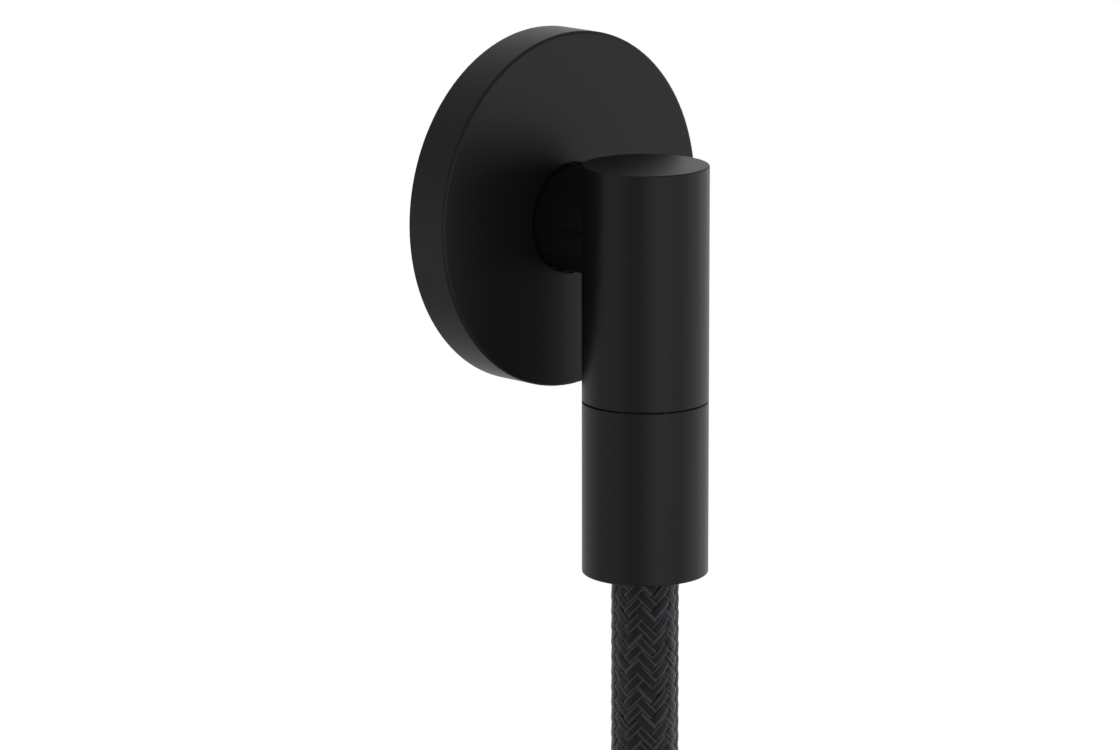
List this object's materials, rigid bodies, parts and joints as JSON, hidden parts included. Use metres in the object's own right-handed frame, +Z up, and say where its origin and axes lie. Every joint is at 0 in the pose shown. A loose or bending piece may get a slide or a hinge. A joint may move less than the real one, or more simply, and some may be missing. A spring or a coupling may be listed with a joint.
{
  "type": "wall outlet elbow with shower hose",
  "caption": "Round wall outlet elbow with a sliding rosette, check valve and union nut, carrying a braided shower hose whose spare length hangs in a strapped coil.",
  "frame": {"origin": "on the axis of the inlet thread, in the wall plane that the rosette's back lies in", "axes": "+Z up, +Y into the wall along the inlet thread, the room towards -Y, +X to the right as seen from the room"},
  "size_m": [0.1601, 0.1036, 0.3957],
  "materials": {
    "black_coating": "satin black powder coating on brass",
    "black_rubber": "moulded",
    "seal_foam": "closed-cell foam",
    "white_acetal": "moulded",
    "spring_steel": "drawn wire",
    "crimp_steel": "drawn sleeve",
    "bare_brass": "turned",
    "braided_hose": "braided black and slate yarn",
    "hook_and_loop_strap": "woven strap"
  },
  "bodies": {
    "elbow": {"elbow_body": "black_coating", "hose_nut": "black_coating", "valve_o_ring": "black_rubber", "outlet_washer": "black_rubber", "end_washer": "black_rubber", "valve_housing": "white_acetal", "valve_guide": "white_acetal", "valve_spring": "spring_steel", "hose_sleeve": "crimp_steel", "end_sleeve": "crimp_steel", "hose_tail": "bare_brass", "end_tail": "bare_brass", "hose_drop": "braided_hose", "hose_coil": "braided_hose", "hose_end": "braided_hose", "coil_strap_upper": "hook_and_loop_strap", "coil_strap_lower": "hook_and_loop_strap"},
    "rosette": {"rosette": "black_coating", "rosette_o_ring": "black_rubber", "rosette_wall_seal": "seal_foam"},
    "valve_poppet": {"valve_poppet": "white_acetal", "valve_poppet_seal": "black_rubber"},
    "end_nut": {"end_nut": "black_coating"}
  },
  "joints": [
    {"name": "rosette_slide", "type": "slide", "parent": "elbow", "child": "rosette", "axis": [0, -1, 0], "range_m": [0, 0.00725]},
    {"name": "valve_lift", "type": "slide", "parent": "elbow", "child": "valve_poppet", "axis": [0, 0, -1], "range_m": [0, 0.0025], "stiffness_N_per_m": 150, "springref_m": -0.006, "deforming": ["valve_spring"]},
    {"name": "end_nut_spin", "type": "hinge", "parent": "elbow", "child": "end_nut", "pos_m": [0.071, -0.0761, -0.3315], "axis": [0, 0, -1], "continuous": true}
  ]
}
